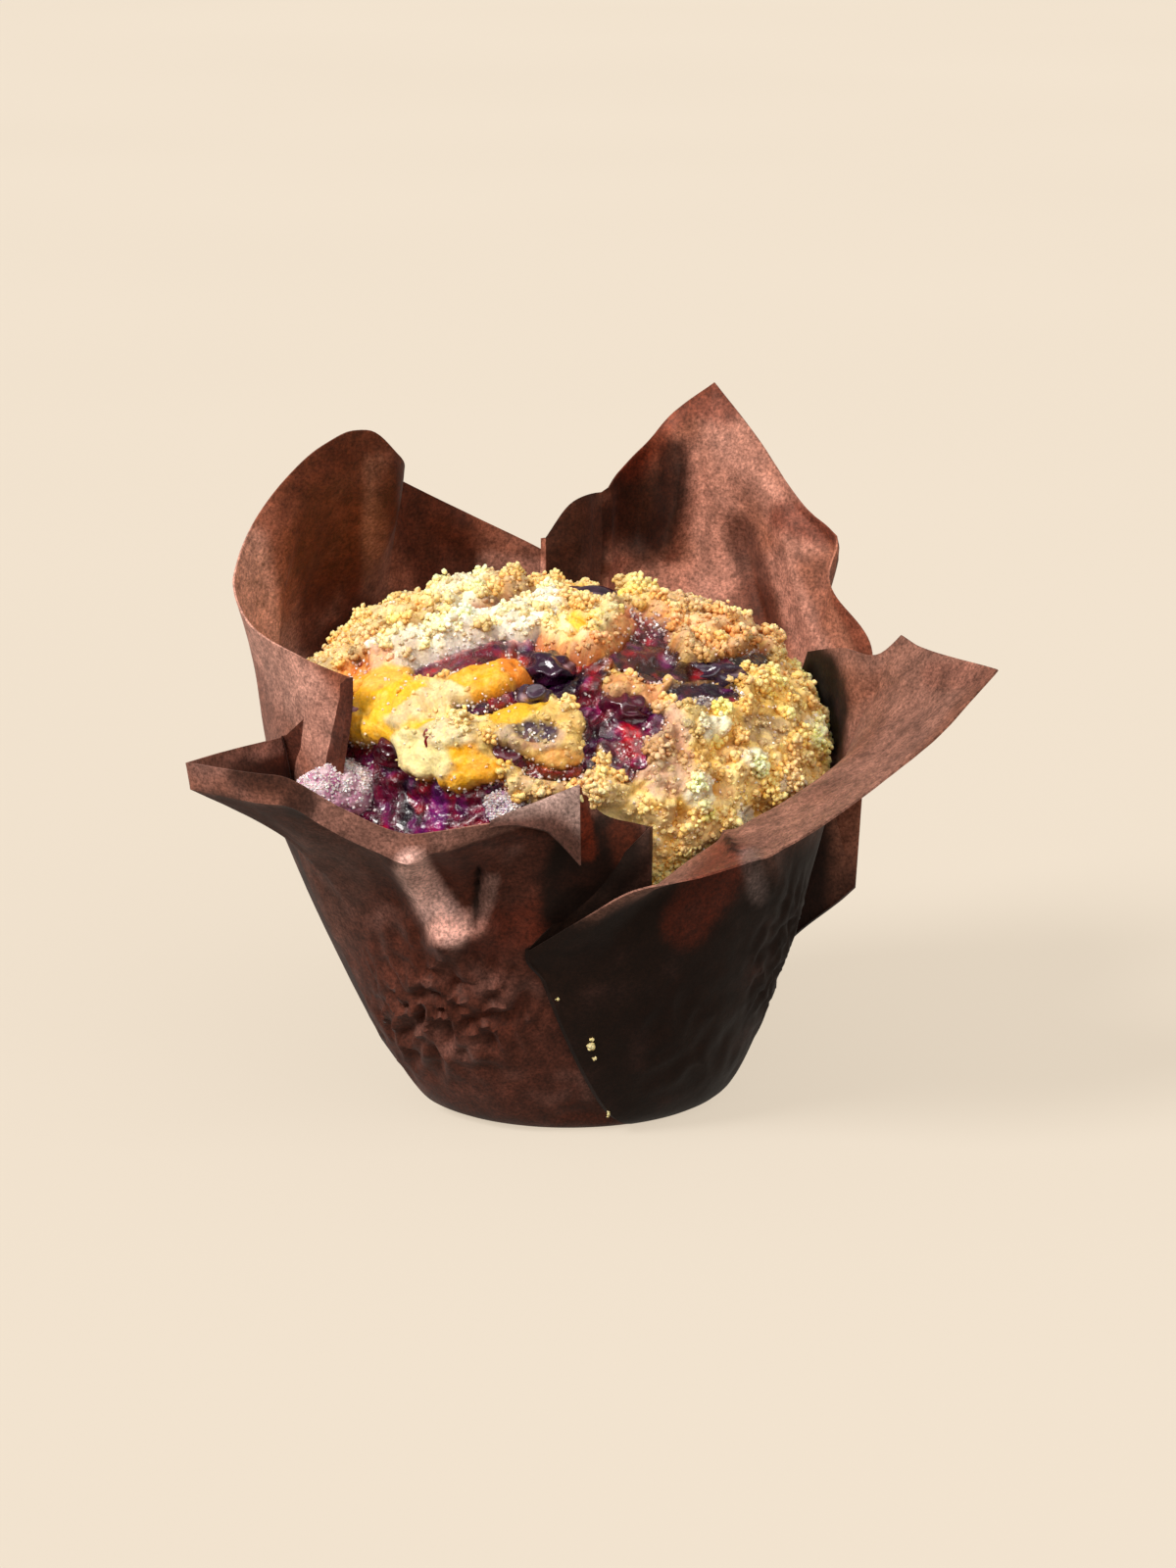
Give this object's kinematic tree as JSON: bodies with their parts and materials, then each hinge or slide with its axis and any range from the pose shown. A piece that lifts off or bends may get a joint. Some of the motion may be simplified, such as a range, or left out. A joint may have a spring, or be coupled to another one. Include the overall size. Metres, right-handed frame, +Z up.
{
  "type": "muffin in paper case",
  "caption": "Berry streusel muffin with a domed craggy top and burst berries, in a brown tulip-folded paper case whose petals stand round it.",
  "frame": {"origin": "middle of the flat round base of the paper case, on the surface it stands on", "axes": "+Z up, -Y towards the front, where the two front petals cross, +X to the right of the front view"},
  "size_m": [0.1304, 0.1145, 0.1157],
  "materials": {
    "paper": "dark brown baking paper, matt, lighter mauve brown where light rakes its fine fibres, greaseproof, crinkled on the wall",
    "crumb": "baked muffin crust, golden yellow to brown, with pale crumbly streusel and coarse sugar; matte_plastic stands for a dry baked crumb",
    "berry": "burst dark purple and red berries in wet jam, glossy; gloss_plastic stands for wet fruit"
  },
  "bodies": {
    "root": {"paper_case": "paper", "muffin": "crumb", "berry_front_left": "berry", "berry_front_edge": "berry", "berry_front_red": "berry", "berry_front_low": "berry", "berry_sugared": "berry", "berry_split_skin": "berry", "berry_centre": "berry", "berry_centre_right": "berry", "berry_sunken": "berry", "berry_right": "berry", "berry_back": "berry", "berry_left_back": "berry"}
  },
  "joints": []
}
